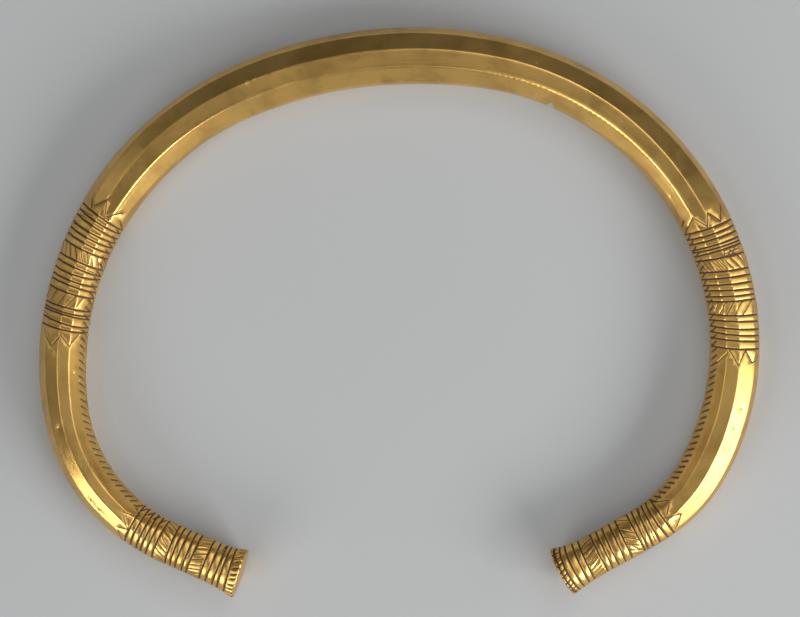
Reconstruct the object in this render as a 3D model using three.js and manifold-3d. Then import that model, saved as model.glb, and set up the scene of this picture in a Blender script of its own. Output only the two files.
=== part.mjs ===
// A gold neck ring (torc) of the Celtic kind, open at the front.
// One bar, hammered to ten flat facets and bent into a C, grows thinner towards two round
// terminals that flare into flat end discs. It lies on its flat underside, +Z up, with the
// opening towards -Y. Millimetres; the origin is at the middle of the ring's box, on the table.
import * as THREE from 'three';
import Module from 'manifold-3d';
import { mergeVertices } from 'three/addons/utils/BufferGeometryUtils.js';

const wasm = await Module();
wasm.setup();

// ---- driving dimensions ----------------------------------------------------------------------

// The bar's centre line in plan, from the left terminal over the back to the right terminal:
// a straight terminal, six arcs that all turn clockwise, and a straight terminal again.
const START_HEADING = 156.5;      // degrees from +X, at the left end face
const LEFT_STRAIGHT = 21;
const ARCS = [
  { radius: 42.5, sweep: 59 },    // left front corner
  { radius: 76, sweep: 75 },      // left side
  { radius: 110, sweep: 33 },     // flatter stretch before the back
  { radius: 73, sweep: 70.5 },    // back
  { radius: 64.5, sweep: 37.5 },  // right side
  { radius: 37, sweep: 32 },      // right front corner
];
const RIGHT_STRAIGHT = 23.5;

// Width of the bar in plan, against the distance from the left end face.
const WIDTHS = [
  [0, 10.9], [25, 10.8], [50, 11.4], [90, 12.3], [140, 13.2], [180, 14.1], [206, 14.3],
  [244, 13.1], [290, 12.8], [351, 12.5], [383, 10.9], [404, 10.9],
];
const BAR_HEIGHT = 12.4;          // the same all round, so that the underside lies flat
const NECK_HEIGHT = 10.9;         // height of the round terminals behind their discs
const ROUND_LENGTH = 20;          // the terminals are round this far from their end faces
const FACET_FADE = 16;            // and the facets have grown to their full depth after this

// The two end discs. Neither sits quite true on its terminal: lean tips a disc back, turn swings
// it round seen from above, both in degrees, and aside moves it across the bar, inwards if below 0.
const DISCS = {
  left: { diameter: 13.1, flare: 9, lean: -1.5, turn: 6, aside: -0.15, dome: 0.5 },
  right: { diameter: 13.3, flare: 9, lean: 5, turn: 0, aside: -0.35, dome: 0.2 },
};
const RIM_BEVEL = 0.45;

// Corners of the ten-sided section, outer edge first and counter-clockwise over the top:
// [across, up], across as a share of half the width, up as a share of the height.
const SECTIONS = {
  left: [
    [1, 0.50], [0.62, 0.84], [0.05, 1], [-0.44, 0.97], [-0.86, 0.72],
    [-1, 0.40], [-0.80, 0.14], [-0.40, 0], [0.40, 0], [0.80, 0.16],
  ],
  back: [
    [1, 0.48], [0.81, 0.76], [0.22, 1], [-0.39, 0.98], [-0.94, 0.62],
    [-1, 0.40], [-0.86, 0.14], [-0.42, 0], [0.42, 0], [0.82, 0.16],
  ],
  right: [
    [1, 0.50], [0.82, 0.76], [0.16, 1], [-0.38, 0.97], [-0.79, 0.76],
    [-1, 0.42], [-0.80, 0.14], [-0.40, 0], [0.40, 0], [0.80, 0.16],
  ],
};
// Where the left section turns into the back one, and the back one into the right one.
const LEFT_TO_BACK = [110, 140];
const BACK_TO_RIGHT = [250, 290];

// A chip out of the sharp inner edge of the back.
const CHIP = { at: 244.5, width: 2.1, depth: 1.5, from: 2, to: 13 };

const STEP_ARC = 4.6;             // longest step between sections on the bar
const STEP_FLARE = 1.5;           // and on the flared terminals
const POINTS_PER_FACET = 2;

const GOLD = new THREE.MeshStandardMaterial({ color: 0xc79a3e, roughness: 0.28, metalness: 1 });

// ---- centre line -----------------------------------------------------------------------------

const radians = THREE.MathUtils.degToRad;

const pieces = [
  { length: LEFT_STRAIGHT, bend: 0 },
  ...ARCS.map(({ radius, sweep }) => ({ length: radius * radians(sweep), bend: -1 / radius })),
  { length: RIGHT_STRAIGHT, bend: 0 },
];
const BAR_LENGTH = pieces.reduce((sum, piece) => sum + piece.length, 0);

// Point and heading on the centre line at a distance from the left end face.
function centreLine(distance) {
  let x = 0;
  let y = 0;
  let heading = radians(START_HEADING);
  let left = distance;
  for (const { length, bend } of pieces) {
    const run = Math.min(left, length);
    const turned = heading + bend * run;
    if (bend === 0) {
      x += run * Math.cos(heading);
      y += run * Math.sin(heading);
    } else {
      x += (Math.sin(turned) - Math.sin(heading)) / bend;
      y -= (Math.cos(turned) - Math.cos(heading)) / bend;
    }
    heading = turned;
    left -= run;
    if (left <= 0) break;
  }
  return { x, y, heading };
}

// ---- section ---------------------------------------------------------------------------------

// Value of a [distance, value] table at a distance, eased between its rows.
function fromTable(table, distance) {
  const last = table.findIndex(([place]) => place >= distance);
  if (last <= 0) return last === 0 ? table[0][1] : table.at(-1)[1];
  const [start, from] = table[last - 1];
  const [end, to] = table[last];
  return THREE.MathUtils.lerp(from, to, THREE.MathUtils.smoothstep(distance, start, end));
}

// How far a flare has opened at a distance from its end face: 1 at the disc, 0 on the neck.
const flareShare = (fromEnd, flare) => Math.max(0, 1 - fromEnd / flare) ** 2;

// Half width and height of the bar, with the flares of the two terminals.
function barSize(distance) {
  const fromRight = BAR_LENGTH - distance;
  const fromEnd = Math.min(distance, fromRight);
  const disc = distance < fromRight ? DISCS.left : DISCS.right;
  const share = flareShare(fromEnd, disc.flare);
  const facets = facetShare(distance);
  const height = THREE.MathUtils.lerp(NECK_HEIGHT, BAR_HEIGHT, facets);
  return {
    half: THREE.MathUtils.lerp(fromTable(WIDTHS, distance), disc.diameter, share) / 2,
    height: THREE.MathUtils.lerp(height, disc.diameter, share),
  };
}

// 0 where the terminals are round, 1 where the bar has its full facets.
function facetShare(distance) {
  const fromEnd = Math.min(distance, BAR_LENGTH - distance);
  return THREE.MathUtils.smoothstep(fromEnd, ROUND_LENGTH, ROUND_LENGTH + FACET_FADE);
}

// Corner list of the section at a distance, between the left, back and right shapes.
function corners(distance) {
  const back = THREE.MathUtils.smoothstep(distance, ...LEFT_TO_BACK);
  const right = THREE.MathUtils.smoothstep(distance, ...BACK_TO_RIGHT);
  return SECTIONS.back.map((corner, i) => corner.map((value, axis) => {
    const start = THREE.MathUtils.lerp(SECTIONS.left[i][axis], value, back);
    return THREE.MathUtils.lerp(start, SECTIONS.right[i][axis], right);
  }));
}

const CENTRE_HEIGHT = DISCS.right.diameter / 2;

// One loop of the section in its own plane: across is outwards from the ring's middle, z is up.
function sectionLoop(distance) {
  const { half, height } = barSize(distance);
  const share = facetShare(distance);
  const list = corners(distance);
  const loop = [];
  list.forEach((corner, i) => {
    const next = list[(i + 1) % list.length];
    for (let k = 0; k < POINTS_PER_FACET; k += 1) {
      const along = k / POINTS_PER_FACET;
      const flat = corner.map((value, axis) => THREE.MathUtils.lerp(value, next[axis], along));
      const turn = (2 * Math.PI * loop.length) / (list.length * POINTS_PER_FACET);
      const round = { across: half * Math.cos(turn), z: CENTRE_HEIGHT + (height / 2) * Math.sin(turn) };
      loop.push({
        across: THREE.MathUtils.lerp(round.across, half * flat[0], share),
        z: THREE.MathUtils.lerp(round.z, height * flat[1], share),
      });
    }
  });
  return loop;
}

// ---- the bar as one closed mesh --------------------------------------------------------------

// Distances of the sections: close together on the flares, wider apart on the bar.
function sectionPlaces() {
  const places = [];
  const fill = (from, to, step) => {
    const count = Math.ceil((to - from) / step);
    for (let i = 0; i < count; i += 1) places.push(from + ((to - from) * i) / count);
  };
  fill(RIM_BEVEL, DISCS.left.flare, STEP_FLARE);
  fill(DISCS.left.flare, BAR_LENGTH - DISCS.right.flare, STEP_ARC);
  fill(BAR_LENGTH - DISCS.right.flare, BAR_LENGTH - RIM_BEVEL, STEP_FLARE);
  places.push(BAR_LENGTH - RIM_BEVEL);
  return places;
}

// Places one loop in space; scale shrinks it about its middle, shift moves it along the bar,
// and the disc's lean, turn and move aside reach it by its share of them.
function placedLoop(distance, scale, shift, disc, way, share) {
  const { x, y, heading } = centreLine(distance);
  const forward = new THREE.Vector3(Math.cos(heading), Math.sin(heading), 0);
  const outward = new THREE.Vector3(-Math.sin(heading), Math.cos(heading), 0);
  return sectionLoop(distance).map(({ across, z }) => {
    const up = (z - CENTRE_HEIGHT) * scale;
    const over = across * scale;
    const tipped = up * Math.tan(radians(disc.lean)) * way - over * Math.tan(radians(disc.turn));
    return new THREE.Vector3(x, y, CENTRE_HEIGHT + up)
      .addScaledVector(outward, over + disc.aside * share)
      .addScaledVector(forward, shift * way + tipped * share);
  });
}

function barGeometry() {
  const places = sectionPlaces();
  const ends = [[RIM_BEVEL, DISCS.left, -1], [BAR_LENGTH - RIM_BEVEL, DISCS.right, 1]];
  const [leftCap, rightCap] = ends.map(([distance, disc, way]) => {
    const bevelled = 1 - (2 * RIM_BEVEL) / disc.diameter;
    const share = flareShare(RIM_BEVEL, disc.flare);
    return {
      edge: placedLoop(distance, bevelled, RIM_BEVEL, disc, way, share),
      dome: placedLoop(distance, bevelled * 0.6, RIM_BEVEL + disc.dome * 0.75, disc, way, share),
      tip: placedLoop(distance, 0, RIM_BEVEL + disc.dome, disc, way, share)[0],
    };
  });
  const placedAt = (distance) => {
    const fromRight = BAR_LENGTH - distance;
    const [fromEnd, disc, way] = distance < fromRight ? [distance, DISCS.left, -1] : [fromRight, DISCS.right, 1];
    return placedLoop(distance, 1, 0, disc, way, flareShare(fromEnd, disc.flare));
  };
  const loops = [
    leftCap.dome,
    leftCap.edge,
    ...places.map(placedAt),
    rightCap.edge,
    rightCap.dome,
  ];

  const count = loops[0].length;
  const points = [leftCap.tip, ...loops.flat(), rightCap.tip];
  const triangles = [];
  for (let k = 0; k < count; k += 1) {
    const next = (k + 1) % count;
    triangles.push(0, 1 + next, 1 + k);
    for (let row = 0; row + 1 < loops.length; row += 1) {
      const here = 1 + row * count;
      const there = here + count;
      triangles.push(here + k, here + next, there + k, here + next, there + next, there + k);
    }
    const lastRow = 1 + (loops.length - 1) * count;
    triangles.push(lastRow + k, lastRow + next, points.length - 1);
  }
  const geometry = new THREE.BufferGeometry().setFromPoints(points);
  geometry.setIndex(triangles);
  return geometry;
}

// ---- the chip --------------------------------------------------------------------------------

// A wedge that takes the chip out of the inner edge, its point towards the middle of the bar.
function chipGeometry() {
  const { x, y, heading } = centreLine(CHIP.at);
  const half = barSize(CHIP.at).half;
  const mouth = half + 2;
  const point = half - CHIP.depth;
  const slope = CHIP.width / 2 / CHIP.depth;
  const outline = new THREE.Shape([
    new THREE.Vector2(0, -point),
    new THREE.Vector2(-slope * (mouth - point), -mouth),
    new THREE.Vector2(slope * (mouth - point), -mouth),
  ]);
  const wedge = new THREE.ExtrudeGeometry(outline, { depth: CHIP.to - CHIP.from, bevelEnabled: false });
  wedge.rotateZ(heading);
  wedge.translate(x, y, CHIP.from);
  return wedge;
}

// ---- joining ---------------------------------------------------------------------------------

function toSolid(geometry) {
  const bare = geometry.clone();
  bare.deleteAttribute('normal');
  bare.deleteAttribute('uv');
  const merged = mergeVertices(bare);
  return new wasm.Manifold(new wasm.Mesh({
    numProp: 3,
    vertProperties: merged.attributes.position.array,
    triVerts: Uint32Array.from(merged.index.array),
  }));
}

function toGeometry(solid) {
  const { vertProperties, triVerts } = solid.getMesh();
  const geometry = new THREE.BufferGeometry();
  geometry.setAttribute('position', new THREE.BufferAttribute(vertProperties, 3));
  geometry.setIndex(new THREE.BufferAttribute(triVerts, 1));
  geometry.computeVertexNormals();
  return geometry;
}

const bar = toSolid(barGeometry()).subtract(toSolid(chipGeometry()));
const torcGeometry = toGeometry(bar);
torcGeometry.computeBoundingBox();
const middle = torcGeometry.boundingBox.getCenter(new THREE.Vector3());
torcGeometry.translate(-middle.x, -middle.y, -torcGeometry.boundingBox.min.z);

const torc = new THREE.Mesh(torcGeometry, GOLD);
torc.name = 'torc';

const group = new THREE.Group();
group.add(torc);
export default group;
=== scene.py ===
"""A gold neck ring (torc), open at the front, with engraved bands on its shoulders and terminals."""
import math

import bpy
import numpy as np
from mathutils import Matrix, Vector
from mathutils.geometry import delaunay_2d_cdt


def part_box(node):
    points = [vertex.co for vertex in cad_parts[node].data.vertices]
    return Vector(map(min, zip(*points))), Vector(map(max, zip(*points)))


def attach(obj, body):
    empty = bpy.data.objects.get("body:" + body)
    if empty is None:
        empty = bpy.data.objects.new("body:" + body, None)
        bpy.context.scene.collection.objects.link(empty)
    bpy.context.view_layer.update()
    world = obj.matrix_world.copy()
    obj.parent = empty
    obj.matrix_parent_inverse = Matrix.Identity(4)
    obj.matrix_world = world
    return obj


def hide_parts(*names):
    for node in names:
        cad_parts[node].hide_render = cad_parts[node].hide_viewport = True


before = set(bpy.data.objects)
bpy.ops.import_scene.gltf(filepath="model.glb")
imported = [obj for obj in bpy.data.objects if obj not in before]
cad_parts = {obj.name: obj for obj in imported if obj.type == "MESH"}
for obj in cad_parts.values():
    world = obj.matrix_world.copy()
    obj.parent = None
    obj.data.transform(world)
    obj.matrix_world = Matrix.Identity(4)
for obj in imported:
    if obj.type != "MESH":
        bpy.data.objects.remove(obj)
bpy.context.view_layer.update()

bl_info = {
    "name": "Gold torc",
    "version": (1, 0, 0),
    "blender": (4, 5, 0),
    "location": "3D View > Sidebar > Torc",
    "description": "Makes an engraved gold neck ring on its CAD frame, and the table and lights round it",
    "category": "Add Mesh",
}

CAD_NODE = "torc"
MM = 0.001

# ---- the bar: centre line, widths and section, all in millimetres ---------------------------

START_HEADING = 156.5
LEFT_STRAIGHT = 21.0
ARCS = ((42.5, 59.0), (76.0, 75.0), (110.0, 33.0), (73.0, 70.5), (64.5, 37.5), (37.0, 32.0))
RIGHT_STRAIGHT = 23.5
WIDTHS = (
    (0, 10.9), (25, 10.8), (50, 11.4), (90, 12.3), (140, 13.2), (180, 14.1), (206, 14.3),
    (244, 13.1), (290, 12.8), (351, 12.5), (383, 10.9), (404, 10.9),
)
BAR_HEIGHT = 12.4       # the same all round, so that the underside lies flat
NECK_HEIGHT = 10.9      # of the round terminals behind their discs
ROUND_LENGTH = 20.0     # the terminals are round this far from their end faces
FACET_FADE = 16.0       # and the facets have grown to their full depth after this
# The discs: lean tips one back and turn swings it round, in degrees; aside moves it across.
LEFT_DISC = {"diameter": 13.1, "flare": 9.0, "lean": -1.5, "turn": 6.0, "aside": -0.15, "dome": 0.5}
RIGHT_DISC = {"diameter": 13.3, "flare": 9.0, "lean": 5.0, "turn": 0.0, "aside": -0.35, "dome": 0.2}
RIM_BEVEL = 0.45
CENTRE_HEIGHT = RIGHT_DISC["diameter"] / 2

FACETS = 10
SECTIONS = {
    "left": (
        (1, 0.50), (0.62, 0.84), (0.05, 1), (-0.44, 0.97), (-0.86, 0.72),
        (-1, 0.40), (-0.80, 0.14), (-0.40, 0), (0.40, 0), (0.80, 0.16),
    ),
    "back": (
        (1, 0.48), (0.81, 0.76), (0.22, 1), (-0.39, 0.98), (-0.94, 0.62),
        (-1, 0.40), (-0.86, 0.14), (-0.42, 0), (0.42, 0), (0.82, 0.16),
    ),
    "right": (
        (1, 0.50), (0.82, 0.76), (0.16, 1), (-0.38, 0.97), (-0.79, 0.76),
        (-1, 0.42), (-0.80, 0.14), (-0.40, 0), (0.40, 0), (0.80, 0.16),
    ),
}
LEFT_TO_BACK = (110.0, 140.0)
BACK_TO_RIGHT = (250.0, 290.0)
CHIP = {"at": 244.5, "width": 2.1, "depth": 1.5}

# ---- the engraving -----------------------------------------------------------------------------
# Places along the bar are millimetres from the left end face. Places round the bar are counted
# in facets: 0 is the outermost corner, 2.5 the middle of the top, 5 the innermost corner.

# Rings cut round the bar, each by where it crosses the outer side, the top and the inner side.
RINGS = (
    (2.5, 2.8, 3.3), (4.2, 4.6, 4.6), (5.7, 5.8, 5.8), (7.5, 7.6, 7.6), (9.1, 9.4, 9.35),
    (12.8, 12.9, 12.7), (14.0, 14.3, 14.15), (15.7, 16.1, 15.8), (17.0, 17.6, 17.3), (18.4, 18.9, 18.7),
    (21.8, 22.4, 21.8), (23.6, 24.0, 23.8), (25.0, 25.5, 25.4), (26.1, 26.8, 26.8), (27.6, 28.5, 28.5),
    (29.2, 30.1, 30.2),
    (85.7, 85.0, 84.7), (87.6, 86.5, 86.1), (89.3, 88.8, 88.3), (90.0, 89.4, 89.2), (91.0, 90.7, 90.5),
    (94.8, 94.4, 94.2), (96.6, 96.3, 95.8), (97.9, 97.5, 97.5), (99.5, 99.2, 99.6), (101.2, 100.9, 100.5),
    (102.7, 102.6, 102.2),
    (106.0, 105.8, 105.6), (107.8, 107.5, 107.3), (109.3, 109.0, 108.9), (110.8, 110.5, 110.4),
    (112.6, 112.2, 111.6), (114.0, 113.6, 113.3), (115.5, 115.1, 114.5),
    (297.2, 296.8, 296.0), (298.7, 298.4, 297.6), (300.1, 299.7, 299.1), (301.6, 301.2, 300.8),
    (302.4, 302.0, 301.4), (303.2, 302.8, 302.6), (305.3, 304.6, 303.9),
    (309.1, 308.0, 307.2), (310.7, 309.7, 309.1), (312.4, 311.4, 310.7), (314.1, 312.9, 312.2),
    (315.3, 314.4, 313.8), (316.4, 315.7, 315.1),
    (320.0, 319.3, 318.5), (321.6, 320.7, 320.2), (323.3, 322.6, 321.7), (324.8, 324.1, 323.3),
    (326.2, 325.5, 325.0), (327.8, 327.6, 327.2),
    (375.2, 374.9, 374.9), (376.6, 376.9, 376.6), (378.8, 378.4, 378.1), (380.6, 380.1, 379.6),
    (382.1, 381.5, 381.3), (383.0, 382.6, 382.7),
    (386.7, 386.1, 386.0), (388.6, 387.9, 387.8), (390.3, 390.0, 389.7), (392.2, 391.6, 391.5),
    (393.5, 393.2, 393.1),
    (397.4, 396.9, 396.5), (398.8, 398.5, 398.1), (400.3, 400.4, 399.9), (401.5, 401.9, 401.1),
    (402.6, 403.0, 402.4),
)

# Bands of slanting strokes, each between two rings: the ring it follows, counted from 0, how far
# a stroke climbs outwards on its way, in facets, and how many strokes there are.
HATCH_BANDS = (
    (4, 0.42, 11), (9, -0.58, 10), (20, -0.52, 7), (26, 0.42, 10),
    (40, 0.42, 12), (46, -0.66, 9), (58, -0.70, 9), (63, 0.45, 11),
)
HATCH_ROUND = (0.2, 4.8)
HATCH_MARGIN = 0.3

# Zigzags that close each engraved zone: runs of (along, round) points.
ZIGZAGS = (
    ((29.7, 0.15), (31.8, 1.05)), ((32.4, 1.3), (30.1, 1.8), (32.7, 2.38)),
    ((33.0, 2.8), (29.5, 3.42), (32.8, 3.88), (31.0, 4.42)),
    ((84.3, 0.6), (80.7, 1.47), (83.3, 2.05)), ((83.7, 2.15), (81.0, 2.95), (84.1, 3.67)),
    ((116.0, 1.3), (118.7, 0.9)), ((117.2, 1.5), (120.3, 2.1)), ((119.3, 2.08), (115.5, 2.57)),
    ((116.4, 2.75), (118.7, 3.52)), ((116.9, 3.7), (115.1, 4.35)),
    ((293.3, 1.0), (296.6, 1.42), (293.3, 1.85), (296.6, 2.4)), ((296.0, 2.4), (292.6, 3.0), (294.7, 3.92)),
    ((329.1, 0.4), (331.0, 1.2), (328.0, 1.62), (331.8, 2.05), (328.0, 2.75)), ((328.7, 2.92), (331.8, 3.92)),
    ((374.2, 1.1), (371.0, 1.67), (374.4, 2.33)), ((373.6, 2.45), (371.1, 3.0)),
    ((371.0, 3.27), (374.0, 3.95), (371.3, 4.47)),
)

# Stray cuts beside the rings, and old scratches and creases on the plain bar.
STRAY_CUTS = (
    ((88.4, 0.3), (87.0, 1.4)), ((101.7, 2.6), (101.0, 4.0)), ((110.3, 0.3), (110.6, 0.9)),
    ((112.9, 0.5), (113.2, 1.3)), ((114.3, 0.6), (114.4, 1.6)), ((6.4, 3.9), (6.1, 4.8)),
    ((303.4, 1.2), (305.2, 1.6)), ((303.7, 1.5), (305.0, 1.9)), ((303.4, 1.9), (304.9, 2.0)),
    ((303.9, 1.1), (304.2, 2.2)), ((304.7, 1.0), (304.5, 2.3)), ((376.6, 1.2), (377.2, 2.3)),
    ((379.6, 1.1), (379.2, 2.2)), ((380.3, 1.6), (379.7, 2.8)), ((379.3, 3.9), (379.0, 4.6)),
    ((384.0, 1.3), (385.6, 2.4)), ((403.2, 0.8), (404.0, 2.9)), ((403.6, 3.0), (402.6, 4.8)),
)
CREASES = (
    ((222.0, 3.32), (284.0, 3.22)), ((226.0, 2.86), (290.0, 2.80)), ((118.0, 3.2), (176.0, 3.16)),
    ((62.2, 2.0), (63.2, 2.3)), ((178.0, 2.1), (181.0, 2.2)), ((41.0, 3.2), (52.0, 3.3)),
)

# The roped inner edge: from where to where, the step between nicks and the way they lean.
ROPED_EDGES = ((24.0, 117.0, 2.05, -1), (292.5, 375.0, 1.85, 1))
ROPE_ROUND = (3.98, 4.78)
ROPE_SWEEP = 1.25       # how far a nick runs along the bar on its way down
ROPE_BEND = 0.45        # and the share of that run it has made half way down

RIM_NICKS = 24
RIM_NICK_REACH = (0.4, 1.9)

# Small pits in the metal: along, round, radius in millimetres.
PITS = (
    (165.5, 2.1, 0.22), (168.0, 1.9, 0.16), (171.0, 1.95, 0.2), (237.5, 1.7, 0.24), (239.2, 3.6, 0.2),
    (258.5, 3.9, 0.2), (285.0, 3.7, 0.26), (37.4, 1.3, 0.24), (38.6, 1.2, 0.2), (40.3, 1.25, 0.26),
    (41.6, 1.2, 0.18), (342.0, 1.4, 0.26), (347.0, 1.5, 0.2), (352.0, 1.3, 0.22), (98.6, 1.5, 0.3),
    (60.5, 1.6, 0.2), (79.5, 1.8, 0.22), (74.0, 3.4, 0.18),
)

# Each kind of cut: its depth, how far its sides reach, in millimetres, and how dark it is painted, part dirt
# and part painted shade down in the cut.
RING_CUT = {"depth": 0.27, "reach": 0.50, "dirt_and_shade": 1.0}
HATCH_CUT = {"depth": 0.13, "reach": 0.31, "dirt_and_shade": 0.85}
ZIGZAG_CUT = {"depth": 0.15, "reach": 0.33, "dirt_and_shade": 0.95}
STRAY_CUT = {"depth": 0.11, "reach": 0.28, "dirt_and_shade": 0.8}
CREASE_CUT = {"depth": 0.03, "reach": 0.45, "dirt_and_shade": 0.15}
ROPE_CUT = {"depth": 0.50, "reach": 0.95, "dirt_and_shade": 0.72}
RIM_CUT = {"depth": 0.30, "reach": 0.60, "dirt_and_shade": 0.8}
# Pits: their depth, and how dark they are painted, part dirt and part painted shade in the hollow.
PIT_DEPTH = 0.12
PIT_DIRT_AND_SHADE = 0.6
DEEPEST_CUT = ROPE_CUT["depth"]

FACET_SPAN = 4.0        # a facet's usual width, which sets the sheet's scale round the bar
SHEET_LOW = -2.5        # the sheet is cut open along the middle of the underside
SHEET_HIGH = SHEET_LOW + FACETS
SHEET_SEED = 20
ROW_STEP = 1.45         # between the plain grid's rows along the bar
TOP_COLUMNS = (-0.2, -0.07, -0.035, 0.0, 0.035, 0.07, 0.2, 0.5)     # round each corner, in facets
UNDER_COLUMNS = (-0.1, 0.0, 0.1, 0.5)
CUT_GAP = 0.10          # least distance between points along the cuts
FLANK_GAP = 0.12        # on their sides
CHIP_GAP = 0.08         # in the chip
GRID_GAP = 0.20         # from the plain grid to the rest
EDGE_GAP = 0.15         # from the sheet's own outline
SEAM_GAP = 0.11         # and between the points on it
RING_FLANKS = (0.17, 0.36, 0.62, 1.0)       # lines of points beside a ring, as shares of its reach
STROKE_FLANKS = (0.28, 0.62, 1.0)           # and beside any other cut
MERGE_DISTANCE = 0.00001                    # in metres, where the sheet's edges meet
DENT_SPREAD = 0.31                          # the long waves are wider than the hammer marks by this
DEEP_SIDE = 1.9         # a cut's walls steepen to its middle by this power
DIRT_AND_SHADE_SIDE = 1.2         # and its dirt and painted shade thicken by this one

# ---- the stage ---------------------------------------------------------------------------------

TABLE_HALF = 6.0                    # metres
CAMERA_TARGET = (0.8, 1.5, 6.3)     # millimetres
SENSOR_WIDTH = 36.0

# Each lamp: name, azimuth and elevation in degrees, distance, width and height in metres, watts.
LAMPS = (
    ("right_card", -37, 25, 1.2, 0.85, 0.40, 13.5),
    ("east_card", 0, 25, 1.2, 0.80, 0.42, 2.3),
    ("left_card", -132, 25, 1.2, 0.70, 0.42, 5.6),
    ("west_card", 160, 25, 1.2, 0.80, 0.42, 0.6),
    ("high_right_box", 60, 50, 1.2, 0.80, 0.45, 2.2),
    ("high_left_box", -118, 50, 1.2, 0.80, 0.45, 1.0),
    ("overhead_box", 45, 74, 1.2, 0.45, 0.45, 0.9),
    ("west_top_box", 184, 60, 1.2, 0.50, 0.34, 1.1),
    ("east_top_box", -8, 60, 1.2, 0.50, 0.34, 0.6),
)


# ---- shape of the bar, worked out for many places at once --------------------------------------

def smoothstep(value, low, high):
    share = np.clip((value - low) / (high - low), 0.0, 1.0)
    return share * share * (3.0 - 2.0 * share)


def path_pieces():
    """(length, bend) of each stretch of the centre line, bend in radians per millimetre."""
    arcs = [(radius * math.radians(sweep), -1.0 / radius) for radius, sweep in ARCS]
    return [(LEFT_STRAIGHT, 0.0), *arcs, (RIGHT_STRAIGHT, 0.0)]


BAR_LENGTH = sum(length for length, _ in path_pieces())


def centre_line(along):
    """Plan position and heading of the centre line at each distance along it."""
    along = np.asarray(along, float)
    spot = np.zeros((len(along), 2))
    turn = np.zeros(len(along))
    x = y = done = 0.0
    heading = math.radians(START_HEADING)
    pieces = path_pieces()
    for i, (length, bend) in enumerate(pieces):
        last = i == len(pieces) - 1
        here = (along >= done) & ((along < done + length) | last)
        run = np.append(along[here] - done, length)
        angle = heading + bend * run
        if bend:
            east = x + (np.sin(angle) - math.sin(heading)) / bend
            north = y - (np.cos(angle) - math.cos(heading)) / bend
        else:
            east = x + run * math.cos(heading)
            north = y + run * math.sin(heading)
        spot[here] = np.stack([east[:-1], north[:-1]], 1)
        turn[here] = angle[:-1]
        x, y, heading = east[-1], north[-1], angle[-1]
        done += length
    return spot, turn


def bar_width(along):
    places = np.array([place for place, _ in WIDTHS], float)
    widths = np.array([width for _, width in WIDTHS], float)
    row = np.clip(np.searchsorted(places, along) - 1, 0, len(places) - 2)
    share = smoothstep(along, places[row], places[row + 1])
    return widths[row] + (widths[row + 1] - widths[row]) * share


def facet_share(along):
    from_end = np.minimum(along, BAR_LENGTH - along)
    return smoothstep(from_end, ROUND_LENGTH, ROUND_LENGTH + FACET_FADE)


def disc_values(along, key):
    return np.where(along < BAR_LENGTH / 2, LEFT_DISC[key], RIGHT_DISC[key])


def flare_share(along):
    from_end = np.minimum(along, BAR_LENGTH - along)
    return np.maximum(0.0, 1.0 - from_end / disc_values(along, "flare")) ** 2


def section_point(along, around, softness, height):
    """(across, up) of the bar's surface at each place, in millimetres, before any engraving."""
    back = smoothstep(along, *LEFT_TO_BACK)[:, None, None]
    right = smoothstep(along, *BACK_TO_RIGHT)[:, None, None]
    left_shape, back_shape, right_shape = (np.array(SECTIONS[name], float) for name in SECTIONS)
    corners = left_shape + (back_shape - left_shape) * back
    corners = corners + (right_shape - corners) * right
    rows = np.arange(len(along))
    flat = np.zeros((len(along), 2))
    spread = np.linspace(-softness, softness, 9)
    for shift in spread:
        place = np.mod(around + shift, FACETS)
        first = np.floor(place).astype(int) % FACETS
        part = (place - np.floor(place))[:, None]
        start = corners[rows, first]
        flat += (start + (corners[rows, (first + 1) % FACETS] - start) * part) / len(spread)
    share = facet_share(along)
    flare = flare_share(along)
    disc = disc_values(along, "diameter")
    half = bar_width(along) / 2
    half = half + (disc / 2 - half) * flare
    tall = NECK_HEIGHT + (height - NECK_HEIGHT) * share
    tall = tall + (disc - tall) * flare
    turn = 2 * np.pi * around / FACETS
    across = half * np.cos(turn)
    up = CENTRE_HEIGHT + tall / 2 * np.sin(turn)
    across = across + (half * flat[:, 0] - across) * share
    up = up + (tall * flat[:, 1] - up) * share
    return across, up


def place_on_bar(sheet, softness, height):
    """Distance along the bar, across, up and forward shift for each point of the flat sheet.

    The sheet runs on past both ends of the bar, over the rim's bevel and in to the middle of
    the end face, where it closes.
    """
    x = sheet[:, 0]
    around = sheet[:, 1] / FACET_SPAN
    past_left = np.maximum(0.0, RIM_BEVEL - x)
    past_right = np.maximum(0.0, x - (BAR_LENGTH - RIM_BEVEL))
    past = past_left + past_right
    way = np.where(past_left > 0, -1.0, 1.0)
    along = np.clip(x, RIM_BEVEL, BAR_LENGTH - RIM_BEVEL)
    across, up = section_point(along, around, softness, height)
    radius = disc_values(along, "diameter") / 2
    bend = np.clip(past / RIM_BEVEL, 0.0, 1.0) * np.pi / 2
    inwards = np.clip((past - RIM_BEVEL) / (radius - RIM_BEVEL), 0.0, 1.0)
    face = (radius - RIM_BEVEL * (1 - np.cos(bend))) / radius * (1 - inwards)
    shift = RIM_BEVEL * np.sin(bend) + disc_values(along, "dome") * (1 - (1 - inwards) ** 2)
    reach = np.where(past > 0, face, 1.0)
    rise = (up - CENTRE_HEIGHT) * reach
    over = across * reach
    share = flare_share(along)
    lean = np.tan(np.radians(disc_values(along, "lean"))) * np.where(x < BAR_LENGTH / 2, -1, 1)
    turn = np.tan(np.radians(disc_values(along, "turn")))
    forward = np.where(past > 0, shift * way, 0.0) + (rise * lean - over * turn) * share
    across, up = over + disc_values(along, "aside") * share, CENTRE_HEIGHT + rise
    # the chip: nothing reaches further in than its two slanting walls
    half = bar_width(along) / 2
    limit = half - CHIP["depth"] * (1 - np.abs(along - CHIP["at"]) / (CHIP["width"] / 2))
    across = np.maximum(across, -np.maximum(limit, half - CHIP["depth"]))
    return along, across, up, forward


# ---- strokes of the graver on the flat sheet -----------------------------------------------------

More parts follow.
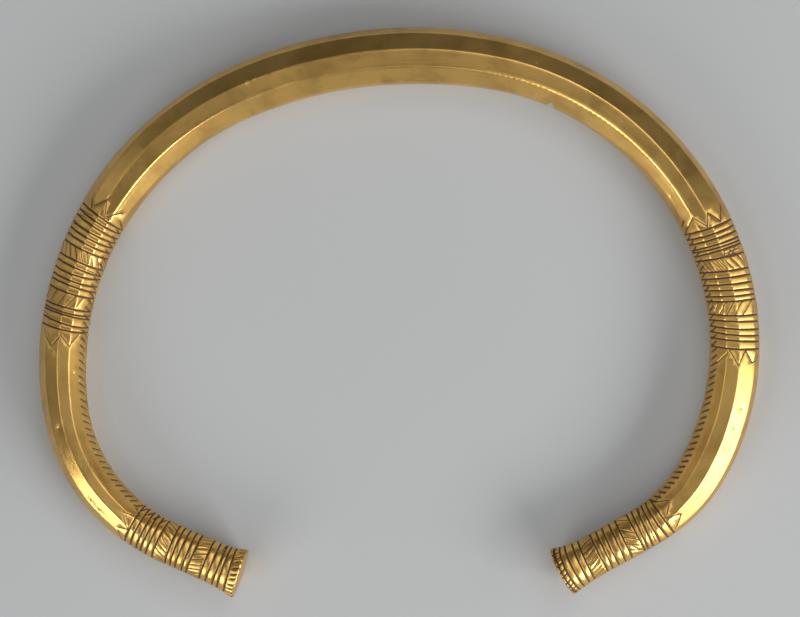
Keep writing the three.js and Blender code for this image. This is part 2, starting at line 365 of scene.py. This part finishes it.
def ring_place(ring, around):
    """Where a ring crosses a place round the bar; it leans and bows as its three crossings say."""
    outer, top, inner = ring
    turn = 2 * np.pi * around / FACETS
    middle = (outer + inner) / 2
    return middle + (outer - inner) / 2 * np.cos(turn) + (top - middle) * np.sin(turn)


def ring_stroke(ring):
    """A ring as a closed run round the bar."""
    around = np.arange(SHEET_LOW, SHEET_HIGH + 0.001, 0.1)
    return np.stack([ring_place(ring, around), around * FACET_SPAN], 1)


def straight_stroke(points):
    """A run through a few (along, round) points, filled in with close steps."""
    corners = np.array([(along, around * FACET_SPAN) for along, around in points], float)
    runs = []
    for start, end in zip(corners, corners[1:]):
        steps = max(2, int(np.linalg.norm(end - start) / 0.3))
        runs.append(start + (end - start) * np.linspace(0, 1, steps, endpoint=False)[:, None])
    return np.vstack([*runs, corners[-1:]])


def hatch_strokes(rng):
    strokes = []
    for before, climb, count in HATCH_BANDS:
        for around in np.linspace(*HATCH_ROUND, count):
            near, far = rng.uniform(-0.1, 0.15, 2)
            rise = climb * rng.uniform(0.85, 1.15) / 2
            first = ring_place(RINGS[before], around) + HATCH_MARGIN + near
            second = ring_place(RINGS[before + 1], around) - HATCH_MARGIN + far
            strokes.append(straight_stroke(((first, around + rise), (second, around - rise))))
    return strokes


def rope_strokes(rng):
    strokes = []
    for start, end, step, lean in ROPED_EDGES:
        for along in np.arange(start, end, step):
            along = along + rng.uniform(-0.12, 0.12)
            top, foot = ROPE_ROUND
            middle = (along + lean * ROPE_SWEEP * ROPE_BEND, (top + foot) / 2)
            strokes.append(straight_stroke(((along, top), middle, (along + lean * ROPE_SWEEP, foot))))
    return strokes


def rim_strokes(rng):
    strokes = []
    low, high = RIM_NICK_REACH
    for around in np.linspace(SHEET_LOW + 0.2, SHEET_HIGH - 0.2, RIM_NICKS):
        around = around + rng.uniform(-0.05, 0.05)
        strokes.append(straight_stroke(((low, around), (high, around - 0.16))))
        strokes.append(straight_stroke(((BAR_LENGTH - low, around), (BAR_LENGTH - high, around + 0.16))))
    return strokes


def all_strokes(rng):
    """Every cut with its depth and reach: (points, cut)."""
    strokes = [(ring_stroke(ring), RING_CUT) for ring in RINGS]
    strokes += [(stroke, HATCH_CUT) for stroke in hatch_strokes(rng)]
    strokes += [(straight_stroke(run), ZIGZAG_CUT) for run in ZIGZAGS]
    strokes += [(straight_stroke(run), STRAY_CUT) for run in STRAY_CUTS]
    strokes += [(straight_stroke(run), CREASE_CUT) for run in CREASES]
    strokes += [(stroke, ROPE_CUT) for stroke in rope_strokes(rng)]
    strokes += [(stroke, RIM_CUT) for stroke in rim_strokes(rng)]
    return strokes


def beside(points, offset):
    """The same run moved sideways by offset."""
    way = np.gradient(points, axis=0)
    way /= np.maximum(np.linalg.norm(way, axis=1), 1e-9)[:, None]
    return points + np.stack([-way[:, 1], way[:, 0]], 1) * offset


def cut_depths(sheet, strokes):
    """Depth of the engraving at every point, as a share of the deepest cut, and how dark it is painted there,
    part dirt and part painted shade.
    """
    depth = np.zeros(len(sheet))
    dirt_and_shade = np.zeros(len(sheet))
    order = np.argsort(sheet[:, 0])
    places = sheet[order, 0]
    for points, cut in strokes:
        reach = cut["reach"]
        low = np.searchsorted(places, points[:, 0].min() - reach)
        high = np.searchsorted(places, points[:, 0].max() + reach)
        near = order[low:high]
        spots = sheet[near]
        inside = (spots[:, 1] > points[:, 1].min() - reach) & (spots[:, 1] < points[:, 1].max() + reach)
        near, spots = near[inside], spots[inside]
        if not len(near):
            continue
        closest = np.full(len(near), np.inf)
        for start, end in zip(points, points[1:]):
            way = end - start
            part = np.clip(((spots - start) @ way) / max(way @ way, 1e-12), 0, 1)
            gap = np.linalg.norm(spots - (start + part[:, None] * way), axis=1)
            closest = np.minimum(closest, gap)
        share = np.clip(1 - closest / reach, 0, 1)
        depth[near] = np.maximum(depth[near], share ** DEEP_SIDE * cut["depth"] / DEEPEST_CUT)
        # the darkening is part dirt and part painted shade of the cut's hollow
        dirt_and_shade[near] = np.maximum(dirt_and_shade[near], share ** DIRT_AND_SHADE_SIDE * cut["dirt_and_shade"])
    for along, around, radius in PITS:
        gap = np.hypot(sheet[:, 0] - along, sheet[:, 1] - around * FACET_SPAN)
        share = np.clip(1 - gap / (radius * 1.4), 0, 1)
        depth = np.maximum(depth, share ** 1.2 * PIT_DEPTH / DEEPEST_CUT)
        dirt_and_shade = np.maximum(dirt_and_shade, share * PIT_DIRT_AND_SHADE)
    return depth, dirt_and_shade


# ---- the flat sheet, with its points closest together where the graver went ------------------------

def sheet_ends():
    low = RIM_BEVEL - LEFT_DISC["diameter"] / 2
    high = BAR_LENGTH - RIM_BEVEL + RIGHT_DISC["diameter"] / 2
    return low, high


def plain_rows():
    """Places along the sheet for the plain grid: close over the rims, the chip and the terminals."""
    low, high = sheet_ends()
    left_face = low + (RIM_BEVEL - low) * np.array([0.06, 0.18, 0.36, 0.56, 0.76, 0.88])
    left_rim = RIM_BEVEL * np.array([0.0, 0.33, 0.67, 1.0])
    right_start = BAR_LENGTH - RIM_BEVEL
    right_face = right_start + (high - right_start) * np.array([0.94, 0.82, 0.64, 0.44, 0.24, 0.12])
    right_rim = BAR_LENGTH - left_rim
    body = np.arange(RIM_BEVEL + 0.6, BAR_LENGTH - RIM_BEVEL - 0.5, ROW_STEP)
    return np.concatenate([left_face, left_rim, body, right_rim, right_face])


def grid_points():
    """The plain grid: columns stand close together at each corner between two facets."""
    columns = []
    for corner in range(int(np.floor(SHEET_LOW)), int(np.ceil(SHEET_HIGH)) + 1):
        under = corner < 0 or corner > 6
        steps = UNDER_COLUMNS if under else TOP_COLUMNS
        columns += [corner + step for step in steps]
    rows = plain_rows()
    along, around = np.meshgrid(rows, columns, indexing="ij")
    points = np.stack([along.ravel(), around.ravel() * FACET_SPAN], 1)
    on_face = (points[:, 0] < 0) | (points[:, 0] > BAR_LENGTH)
    place = points[:, 1] / FACET_SPAN
    coarse = np.abs(place * 2 - np.round(place * 2)) < 0.01
    return points[~on_face | coarse]


def edge_points():
    """Points on the sheet's own outline: the same places on both seams, and a few at each pole."""
    low, high = sheet_ends()
    seam = [plain_rows()]
    for outer, top, inner in RINGS:
        middle = (outer + inner) / 2 - (top - (outer + inner) / 2)
        seam.append(middle + np.array([-0.6, -0.3, -0.12, 0.0, 0.12, 0.3, 0.6]))
    places = np.sort(np.concatenate(seam))
    kept = [low]
    for place in places:
        if place - kept[-1] > SEAM_GAP and place < high - SEAM_GAP:
            kept.append(place)
    kept.append(high)
    along = np.array(kept)
    poles = np.arange(SHEET_LOW + 1, SHEET_HIGH, 1.0) * FACET_SPAN
    return (
        np.stack([along, np.full(len(along), SHEET_LOW * FACET_SPAN)], 1),
        np.stack([along, np.full(len(along), SHEET_HIGH * FACET_SPAN)], 1),
        np.stack([np.full(len(poles), low), poles], 1),
        np.stack([np.full(len(poles), high), poles], 1),
    )


def thin_out(groups):
    """Keeps a point only if it lies further than its group's gap from those already kept."""
    cell = 0.25         # wider than any gap, so that only the neighbouring cells need a look
    kept = []
    taken = {}
    for points, gap in groups:
        for x, y in points.tolist():
            column, row = int(x // cell), int(y // cell)
            near = False
            for i in (column - 1, column, column + 1):
                for j in (row - 1, row, row + 1):
                    for other_x, other_y in taken.get((i, j), ()):
                        if abs(other_x - x) < gap and abs(other_y - y) < gap:
                            near = True
            if not near:
                taken.setdefault((column, row), []).append((x, y))
                kept.append((x, y))
    return np.array(kept)


def pit_points(along, around, radius):
    """A pit's middle and two rings of points round it."""
    spots = [(0.0, 0.0)]
    for share in (0.6, 1.2):
        for turn in np.arange(0, 6.2, 0.9):
            spots.append((share * math.cos(turn), share * math.sin(turn)))
    return np.array([[along, around * FACET_SPAN]]) + radius * np.array(spots)


def sheet_points(strokes):
    """All points of the sheet, strokes first, then the plain grid in the space that is left."""
    low, high = sheet_ends()
    centres = [points for points, _ in strokes]
    flanks = []
    for points, cut in strokes:
        shares = RING_FLANKS if cut is RING_CUT else STROKE_FLANKS
        for share in shares:
            flanks.append(beside(points, cut["reach"] * share))
            flanks.append(beside(points, -cut["reach"] * share))
    pits = [pit_points(*pit) for pit in PITS]
    chip_along = np.arange(CHIP["at"] - 1.6, CHIP["at"] + 1.6, 0.16)
    chip_around = np.arange(3.2, 6.4, 0.05) * FACET_SPAN
    chip = np.stack(np.meshgrid(chip_along, chip_around, indexing="ij"), -1).reshape(-1, 2)
    inner = np.vstack(centres)
    outer = np.vstack(flanks)
    loose = [
        (inner, CUT_GAP), (np.vstack(pits), CUT_GAP), (chip, CHIP_GAP), (outer, FLANK_GAP),
        (grid_points(), GRID_GAP),
    ]
    seam_low, seam_high = SHEET_LOW * FACET_SPAN, SHEET_HIGH * FACET_SPAN
    inside = []
    for points, gap in loose:
        clear = (points[:, 1] > seam_low + EDGE_GAP) & (points[:, 1] < seam_high - EDGE_GAP)
        clear &= (points[:, 0] > low + EDGE_GAP) & (points[:, 0] < high - EDGE_GAP)
        inside.append((points[clear], gap))
    return thin_out([(points, 0.0) for points in edge_points()] + inside)


def triangles_over(points):
    """Triangles over the sheet, turned so that they face outwards once it is wrapped on the bar."""
    corners = [Vector(point) for point in points.tolist()]
    coords, _, faces, _, _, _ = delaunay_2d_cdt(corners, [], [], 0, 1e-7, False)
    spots = np.array([tuple(coord) for coord in coords])
    return spots, np.array([tuple(reversed(face)) for face in faces])


# ---- small helpers for meshes and nodes --------------------------------------------------------------

def linked(obj):
    bpy.context.scene.collection.objects.link(obj)
    return obj


def new_mesh_object(name, points, faces):
    mesh = bpy.data.meshes.new(name)
    mesh.from_pydata(points.tolist(), [], faces.tolist())
    mesh.update()
    return linked(bpy.data.objects.new(name, mesh))


def add_values(mesh, name, kind, values):
    attribute = mesh.attributes.new(name, kind, "POINT")
    key = "vector" if kind == "FLOAT_VECTOR" else "value"
    attribute.data.foreach_set(key, np.asarray(values, np.float32).ravel())


class Nodes:
    """Adds nodes to a tree from left to right and joins them."""

    def __init__(self, tree):
        self.tree = tree
        self.place = 0

    def add(self, kind, settings=None, **inputs):
        node = self.tree.nodes.new(kind)
        node.location = (180 * (self.place % 12), -260 * (self.place // 12))
        self.place += 1
        for key, value in (settings or {}).items():
            setattr(node, key, value)
        for key, value in inputs.items():
            self.feed(node.inputs[key.replace("_", " ")], value)
        return node

    def feed(self, socket, value):
        if isinstance(value, bpy.types.NodeSocket):
            self.tree.links.new(value, socket)
        else:
            socket.default_value = value

    def maths(self, operation, *values, clamp=False):
        node = self.add("ShaderNodeMath", {"operation": operation, "use_clamp": clamp})
        for socket, value in zip(node.inputs, values):
            self.feed(socket, value)
        return node.outputs[0]

    def vector(self, operation, *values):
        node = self.add("ShaderNodeVectorMath", {"operation": operation})
        sockets = [node.inputs[0], node.inputs["Scale"]] if operation == "SCALE" else node.inputs
        for socket, value in zip(sockets, values):
            self.feed(socket, value)
        return node.outputs[0]

    def named_value(self, name, kind):
        return self.add("GeometryNodeInputNamedAttribute", {"data_type": kind}, Name=name).outputs[0]

    def seeded_noise(self, vector, seed, scale, detail):
        node = self.add(
            "ShaderNodeTexNoise", {"noise_dimensions": "4D"},
            Vector=vector, W=seed, Scale=scale, Detail=detail,
        )
        return node.outputs[0]

    def noise(self, vector, scale, detail=3.0, roughness=0.5, distortion=0.0):
        node = self.add(
            "ShaderNodeTexNoise", {"noise_dimensions": "3D"},
            Vector=vector, Scale=scale, Detail=detail, Roughness=roughness, Distortion=distortion,
        )
        return node.outputs[0]

    def ramp(self, value, low, high, start=0.0, end=1.0):
        node = self.add("ShaderNodeMapRange", {"interpolation_type": "SMOOTHSTEP", "clamp": True})
        for socket, setting in zip(node.inputs, (value, low, high, start, end)):
            self.feed(socket, setting)
        return node.outputs[0]

    def mix_colour(self, factor, first, second):
        node = self.add("ShaderNodeMix", {"data_type": "RGBA"})
        for socket, value in zip((node.inputs[0], node.inputs[6], node.inputs[7]), (factor, first, second)):
            self.feed(socket, value)
        return node.outputs[2]


# ---- the sweep, as a tree of geometry nodes ------------------------------------------------------------

def sweep_tree():
    """Wraps the sheet on the centre line, closes it, sinks the engraving and beats the surface."""
    tree = bpy.data.node_groups.new("Torc sweep", "GeometryNodeTree")
    face = tree.interface
    face.new_socket(name="Geometry", in_out="OUTPUT", socket_type="NodeSocketGeometry")
    wanted = (
        ("Geometry", "NodeSocketGeometry"), ("Centre line", "NodeSocketObject"),
        ("Groove depth", "NodeSocketFloat"), ("Unevenness", "NodeSocketFloat"),
        ("Unevenness size", "NodeSocketFloat"), ("Dent depth", "NodeSocketFloat"),
        ("Seed", "NodeSocketFloat"), ("Gold", "NodeSocketMaterial"),
    )
    sockets = {name: face.new_socket(name=name, in_out="INPUT", socket_type=kind) for name, kind in wanted}
    make = Nodes(tree)
    start = make.add("NodeGroupInput").outputs
    along = make.named_value("along", "FLOAT")
    section = make.named_value("section", "FLOAT_VECTOR")
    cut = make.named_value("cut", "FLOAT")
    line = make.add("GeometryNodeObjectInfo", {"transform_space": "ORIGINAL"}, Object=start["Centre line"])
    sample = make.add(
        "GeometryNodeSampleCurve", {"mode": "LENGTH", "data_type": "FLOAT", "use_all_curves": True},
        Curves=line.outputs["Geometry"], Length=along,
    )
    tangent = sample.outputs["Tangent"]
    outward = make.vector("CROSS_PRODUCT", (0.0, 0.0, 1.0), tangent)
    parts = make.add("ShaderNodeSeparateXYZ", Vector=section).outputs
    across = make.vector("SCALE", outward, parts["X"])
    up = make.vector("SCALE", (0.0, 0.0, 1.0), parts["Y"])
    forward = make.vector("SCALE", tangent, parts["Z"])
    spot = make.vector("ADD", sample.outputs["Position"], across)
    spot = make.vector("ADD", spot, up)
    spot = make.vector("ADD", spot, forward)
    wrapped = make.add("GeometryNodeSetPosition", Geometry=start["Geometry"], Position=spot)
    closed = make.add("GeometryNodeMergeByDistance", Geometry=wrapped.outputs[0], Distance=MERGE_DISTANCE)
    place = make.add("GeometryNodeInputPosition").outputs[0]
    coarse = make.maths("DIVIDE", 1.0, start["Unevenness size"])
    beaten = make.seeded_noise(place, start["Seed"], coarse, 1.0)
    dented = make.seeded_noise(place, start["Seed"], make.maths("MULTIPLY", coarse, DENT_SPREAD), 0.0)
    sunk = make.maths("MULTIPLY", cut, start["Groove depth"])
    sunk = make.maths("MULTIPLY_ADD", beaten, start["Unevenness"], sunk)
    sunk = make.maths("MULTIPLY_ADD", dented, start["Dent depth"], sunk)
    normal = make.add("GeometryNodeInputNormal").outputs[0]
    inward = make.vector("SCALE", normal, make.maths("MULTIPLY", sunk, -1.0))
    engraved = make.add("GeometryNodeSetPosition", Geometry=closed.outputs[0], Offset=inward)
    smooth = make.add("GeometryNodeSetShadeSmooth", {"domain": "FACE"}, Geometry=engraved.outputs[0])
    real = make.add("GeometryNodeRealizeInstances", Geometry=smooth.outputs[0])
    coated = make.add("GeometryNodeSetMaterial", Geometry=real.outputs[0], Material=start["Gold"])
    finish = make.add("NodeGroupOutput")
    make.feed(finish.inputs[0], coated.outputs[0])
    return tree, sockets


def centre_line_object(shift):
    """The centre line as a curve in the CAD frame, a point each half millimetre."""
    steps = np.append(np.arange(0, BAR_LENGTH, 0.5), BAR_LENGTH)
    spots, _ = centre_line(steps)
    curve = bpy.data.curves.new("centre_line", "CURVE")
    curve.dimensions = "3D"
    spline = curve.splines.new("POLY")
    spline.points.add(len(spots) - 1)
    flat = np.zeros((len(spots), 4))
    flat[:, :2] = (spots + shift) * MM
    flat[:, 3] = 1
    spline.points.foreach_set("co", flat.ravel())
    return linked(bpy.data.objects.new("centre_line", curve))


def cad_shift():
    """How far the centre line moves, in millimetres, to lie where the CAD model has it."""
    sheet = np.stack(np.meshgrid(
        np.linspace(*sheet_ends(), 1800), np.linspace(SHEET_LOW, SHEET_HIGH, 81) * FACET_SPAN, indexing="ij",
    ), -1).reshape(-1, 2)
    along, across, _, forward = place_on_bar(sheet, 0.0, BAR_HEIGHT)
    spots, turn = centre_line(along)
    outward = np.stack([-np.sin(turn), np.cos(turn)], 1)
    onward = np.stack([np.cos(turn), np.sin(turn)], 1)
    outline = spots + outward * across[:, None] + onward * forward[:, None]
    low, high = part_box(CAD_NODE)
    wanted = np.array([(low[i] + high[i]) / 2 for i in (0, 1)]) / MM
    return wanted - (outline.min(0) + outline.max(0)) / 2


# ---- the gold -------------------------------------------------------------------------------------------

def rgba(colour):
    return (*colour, 1.0)


def gold_material(look):
    """Worn gold: fine scratches along the bar, a faint olive bloom, brown dirt and painted shade down in the
    cuts.
    """
    material = bpy.data.materials.new("worn_gold")
    material.use_nodes = True
    tree = material.node_tree
    tree.nodes.clear()
    make = Nodes(tree)
    place = make.add("ShaderNodeTexCoord").outputs["Object"]
    sheet = make.add("ShaderNodeUVMap", {"uv_map": "sheet"}).outputs["UV"]
    soiled_and_shaded = make.add("ShaderNodeAttribute", {"attribute_name": "dirt_and_shade"}).outputs["Fac"]
    bloom = make.ramp(make.noise(place, 90.0, 4.0, 0.6, 0.4), 0.42, 0.68)
    cloud = make.noise(place, 35.0, 3.0, 0.55)
    grain = make.noise(place, 1400.0, 2.0)
    colour = make.mix_colour(
        make.maths("MULTIPLY", bloom, look.bloom_amount), rgba(look.gold_colour), rgba(look.bloom_colour))
    speck = make.ramp(make.noise(place, 520.0, 2.0, 0.6), 0.66, 0.76, 0.0, 0.25)
    colour = make.mix_colour(speck, colour, rgba(look.bloom_colour))
    # The brown in the cuts is partly dirt and partly painted shade, darkest where a cut is deepest.
    patchy_dirt_and_shade = make.maths("MULTIPLY_ADD", make.maths("SUBTRACT", cloud, 0.5), 0.12, soiled_and_shaded)
    dirt_and_shade = make.ramp(patchy_dirt_and_shade, 0.26, 0.70)
    colour = make.mix_colour(dirt_and_shade, colour, rgba(look.dirt_and_shade_colour))
    long_way = make.add("ShaderNodeMapping", {"vector_type": "POINT"}, Vector=sheet, Scale=(0.12, 3.2, 1.0))
    cross_way = make.add(
        "ShaderNodeMapping", {"vector_type": "POINT"},
        Vector=sheet, Rotation=(0, 0, 0.6), Scale=(0.35, 3.6, 1.0),
    )
    lines = make.noise(long_way.outputs[0], 1.6, 4.0, 0.65)
    crossed = make.noise(cross_way.outputs[0], 1.2, 3.0, 0.6)
    dull = make.maths("MULTIPLY_ADD", make.maths("SUBTRACT", cloud, 0.5), 0.22, look.roughness)
    dull = make.maths("MULTIPLY_ADD", make.maths("SUBTRACT", lines, 0.5), 0.14, dull)
    dull = make.maths("MULTIPLY_ADD", dirt_and_shade, 0.35, dull, clamp=True)
    metal = make.maths("MULTIPLY_ADD", dirt_and_shade, -0.75, 1.0)
    height = make.maths("ADD", lines, make.maths("MULTIPLY", crossed, 0.6))
    height = make.maths("MULTIPLY_ADD", grain, 0.1, height)
    bump = make.add("ShaderNodeBump", Strength=look.scratch_strength, Distance=0.00006, Height=height)
    shader = make.add("ShaderNodeBsdfPrincipled")
    make.feed(shader.inputs["Base Color"], colour)
    make.feed(shader.inputs["Metallic"], metal)
    make.feed(shader.inputs["Roughness"], dull)
    make.feed(shader.inputs["Normal"], bump.outputs[0])
    out = make.add("ShaderNodeOutputMaterial")
    make.feed(out.inputs["Surface"], shader.outputs[0])
    return material


def floor_material(colour, glow):
    material = bpy.data.materials.new("pale_table")
    material.use_nodes = True
    shader = material.node_tree.nodes["Principled BSDF"]
    shader.inputs["Base Color"].default_value = rgba(colour)
    shader.inputs["Roughness"].default_value = 0.9
    shader.inputs["Specular IOR Level"].default_value = 0.1
    shader.inputs["Emission Color"].default_value = rgba(colour)
    shader.inputs["Emission Strength"].default_value = glow
    return material


# ---- what a user may change ---------------------------------------------------------------------------

class TorcRingSettings(bpy.types.PropertyGroup):
    """Sizes and colours of the ring"""

    bar_height: bpy.props.FloatProperty(
        name="Bar height", description="Height of the faceted bar off the table",
        default=BAR_HEIGHT * MM, min=10 * MM, max=12.6 * MM, unit="LENGTH", precision=4)
    softness: bpy.props.FloatProperty(
        name="Corner softness", description="How far each corner between facets is worn round, in facets",
        default=0.035, min=0.0, max=0.3, subtype="FACTOR")
    groove_depth: bpy.props.FloatProperty(
        name="Groove depth", description="Depth of the deepest engraved cut",
        default=DEEPEST_CUT * MM, min=0.0, max=1 * MM, unit="LENGTH", precision=5)
    unevenness: bpy.props.FloatProperty(
        name="Unevenness", description="How far hammering left the surface from true",
        default=0.07 * MM, min=0.0, max=0.5 * MM, unit="LENGTH", precision=5)
    unevenness_size: bpy.props.FloatProperty(
        name="Unevenness size", description="Distance between the hammer's low places",
        default=6 * MM, min=1 * MM, max=50 * MM, unit="LENGTH", precision=4)
    dent_depth: bpy.props.FloatProperty(
        name="Dent depth", description="Depth of the long shallow waves in the facets",
        default=0.16 * MM, min=0.0, max=0.5 * MM, unit="LENGTH", precision=5)
    seed: bpy.props.IntProperty(
        name="Seed", description="Changes where the hammer marks fall", default=4, min=0)
    gold_colour: bpy.props.FloatVectorProperty(
        name="Gold", description="Colour of the clean metal",
        default=(0.85, 0.525, 0.155), size=3, min=0.0, max=1.0, subtype="COLOR")
    bloom_colour: bpy.props.FloatVectorProperty(
        name="Bloom", description="Colour of the dull olive film on the metal",
        default=(0.44, 0.25, 0.065), size=3, min=0.0, max=1.0, subtype="COLOR")
    bloom_amount: bpy.props.FloatProperty(
        name="Bloom amount", description="How strongly the film shows", default=0.5, min=0.0, max=1.0,
        subtype="FACTOR")
    dirt_and_shade_colour: bpy.props.FloatVectorProperty(
        name="Dirt and shade", description="Colour of the old dirt and painted shade in the cuts",
        default=(0.085, 0.038, 0.012), size=3, min=0.0, max=1.0, subtype="COLOR")
    roughness: bpy.props.FloatProperty(
        name="Roughness", description="Dullness of the clean metal", default=0.32, min=0.0, max=1.0,
        subtype="FACTOR")
    scratch_strength: bpy.props.FloatProperty(
        name="Scratches", description="Strength of the fine scratches", default=0.3, min=0.0, max=1.0,
        subtype="FACTOR")


class TorcStageSettings(bpy.types.PropertyGroup):
    """The table, the lights and the camera"""

    table_colour: bpy.props.FloatVectorProperty(
        name="Table", description="Colour of the table", default=(0.41, 0.418, 0.421), size=3,
        min=0.0, max=1.0, subtype="COLOR")
    table_glow: bpy.props.FloatProperty(
        name="Table glow", description="Light that comes up through the table", default=0.10,
        min=0.0, max=2.0)
    sky: bpy.props.FloatProperty(
        name="Room light", description="Brightness of the dim room round the stage", default=0.08,
        min=0.0, max=2.0)
    lens: bpy.props.FloatProperty(
        name="Lens", description="Focal length of the camera", default=144.0, min=20.0, max=300.0,
        subtype="DISTANCE_CAMERA")
    distance: bpy.props.FloatProperty(
        name="Camera distance", description="From the camera to the middle of the ring",
        default=0.8, min=0.2, max=5.0, unit="LENGTH")
    tilt: bpy.props.FloatProperty(
        name="Camera tilt", description="How far the camera leans off the vertical, each way",
        default=math.radians(3.5), min=0.0, max=1.0, subtype="ANGLE")


# ---- operators ----------------------------------------------------------------------------------------

class TORC_OT_ring(bpy.types.Operator):
    """Makes the engraved ring from its flat sheet"""

    bl_idname = "torc.ring"
    bl_label = "Make the ring"

    def execute(self, context):
        look = context.scene.torc_ring
        rng = np.random.default_rng(SHEET_SEED)
        strokes = all_strokes(rng)
        sheet, faces = triangles_over(sheet_points(strokes))
        if len(faces) >= 200000:
            raise RuntimeError(f"the ring has {len(faces)} triangles, which is too many")
        depth, dirt_and_shade = cut_depths(sheet, strokes)
        along, across, up, forward = place_on_bar(sheet, look.softness, look.bar_height / MM)
        flat = np.column_stack([sheet, np.zeros(len(sheet))])
        blank = new_mesh_object("sheet", flat * MM, faces)
        add_values(blank.data, "along", "FLOAT", along * MM)
        add_values(blank.data, "section", "FLOAT_VECTOR", np.column_stack([across, up, forward]) * MM)
        add_values(blank.data, "cut", "FLOAT", depth)
        add_values(blank.data, "dirt_and_shade", "FLOAT", dirt_and_shade)
        corners = np.zeros(len(blank.data.loops), int)
        blank.data.loops.foreach_get("vertex_index", corners)
        chart = blank.data.uv_layers.new(name="sheet")
        chart.uv.foreach_set("vector", sheet[corners].astype(np.float32).ravel())
        line = centre_line_object(cad_shift())
        tree, sockets = sweep_tree()
        sweep = blank.modifiers.new("sweep", "NODES")
        sweep.node_group = tree
        values = {
            "Centre line": line, "Groove depth": look.groove_depth, "Unevenness": look.unevenness,
            "Unevenness size": look.unevenness_size, "Dent depth": look.dent_depth,
            "Seed": float(look.seed), "Gold": gold_material(look),
        }
        for name, value in values.items():
            sweep[sockets[name].identifier] = value
        bpy.context.view_layer.update()
        solid = blank.evaluated_get(bpy.context.evaluated_depsgraph_get())
        mesh = bpy.data.meshes.new_from_object(solid)
        mesh.name = "engraved_torc"
        blank.modifiers.remove(sweep)
        for leftover in (blank, line):
            bpy.data.objects.remove(leftover, do_unlink=True)
        if not mesh.polygons:
            raise RuntimeError("the sweep gave no faces")
        ring = linked(bpy.data.objects.new("engraved_torc", mesh))
        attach(ring, "root")
        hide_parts(CAD_NODE)
        print("ring:", len(mesh.vertices), "points,", len(mesh.polygons), "triangles")
        return {"FINISHED"}


def soft_box(name, azimuth, elevation, distance, width, height, power, colour=(1.0, 1.0, 1.0)):
    """A flat lamp facing the ring. Azimuth is counted from +X towards +Y, in degrees."""
    lamp = bpy.data.lights.new(name, "AREA")
    lamp.shape = "RECTANGLE"
    lamp.size = width
    lamp.size_y = height
    lamp.energy = power
    lamp.color = colour
    obj = linked(bpy.data.objects.new(name, lamp))
    turn, rise = math.radians(azimuth), math.radians(elevation)
    way = Vector((math.cos(rise) * math.cos(turn), math.cos(rise) * math.sin(turn), math.sin(rise)))
    obj.matrix_world = Matrix.Translation(way * distance) @ way.to_track_quat("Z", "Y").to_matrix().to_4x4()
    return obj


class TORC_OT_stage(bpy.types.Operator):
    """Lays the table and sets the lights and the camera"""

    bl_idname = "torc.stage"
    bl_label = "Set the stage"

    def execute(self, context):
        stage = context.scene.torc_stage
        half = TABLE_HALF
        square = np.array([[-half, -half, 0], [half, -half, 0], [half, half, 0], [-half, half, 0]])
        table = new_mesh_object("table", square, np.array([[0, 1, 2, 3]]))
        table.data.materials.append(floor_material(stage.table_colour, stage.table_glow))
        world = bpy.data.worlds.new("dim_room")
        world.use_nodes = True
        shade = world.node_tree.nodes["Background"]
        shade.inputs["Color"].default_value = (0.95, 0.97, 1.0, 1.0)
        shade.inputs["Strength"].default_value = stage.sky
        context.scene.world = world
        for lamp in LAMPS:
            soft_box(*lamp)
        context.scene.view_settings.view_transform = "Standard"
        camera = bpy.data.cameras.new("camera")
        camera.lens = stage.lens
        camera.sensor_width = SENSOR_WIDTH
        camera.sensor_fit = "HORIZONTAL"
        camera.clip_end = 20.0
        away = Vector((math.tan(stage.tilt), math.tan(stage.tilt), 1.0)).normalized()
        right = Vector((0, 1, 0)).cross(away).normalized()
        top = away.cross(right)
        middle = Vector(CAMERA_TARGET) * MM
        pose = Matrix((right, top, away)).transposed().to_4x4()
        eye = linked(bpy.data.objects.new("camera", camera))
        eye.matrix_world = Matrix.Translation(middle + away * stage.distance) @ pose
        context.scene.camera = eye
        return {"FINISHED"}


class TORC_PT_panel(bpy.types.Panel):
    """Lists the ring's and the stage's settings"""

    bl_idname = "TORC_PT_panel"
    bl_label = "Gold torc"
    bl_space_type = "VIEW_3D"
    bl_region_type = "UI"
    bl_category = "Torc"

    def draw(self, context):
        scene = context.scene
        for settings, operator in ((scene.torc_ring, "torc.ring"), (scene.torc_stage, "torc.stage")):
            box = self.layout.box()
            for name in settings.bl_rna.properties.keys():
                if name not in ("rna_type", "name"):
                    box.prop(settings, name)
            box.operator(operator)


CLASSES = (TorcRingSettings, TorcStageSettings, TORC_OT_ring, TORC_OT_stage, TORC_PT_panel)


def register():
    for each in CLASSES:
        bpy.utils.register_class(each)
    bpy.types.Scene.torc_ring = bpy.props.PointerProperty(type=TorcRingSettings)
    bpy.types.Scene.torc_stage = bpy.props.PointerProperty(type=TorcStageSettings)


def unregister():
    del bpy.types.Scene.torc_stage
    del bpy.types.Scene.torc_ring
    for each in reversed(CLASSES):
        bpy.utils.unregister_class(each)


def main():
    register()
    bpy.ops.torc.ring()
    bpy.ops.torc.stage()


if __name__ == "__main__":
    main()
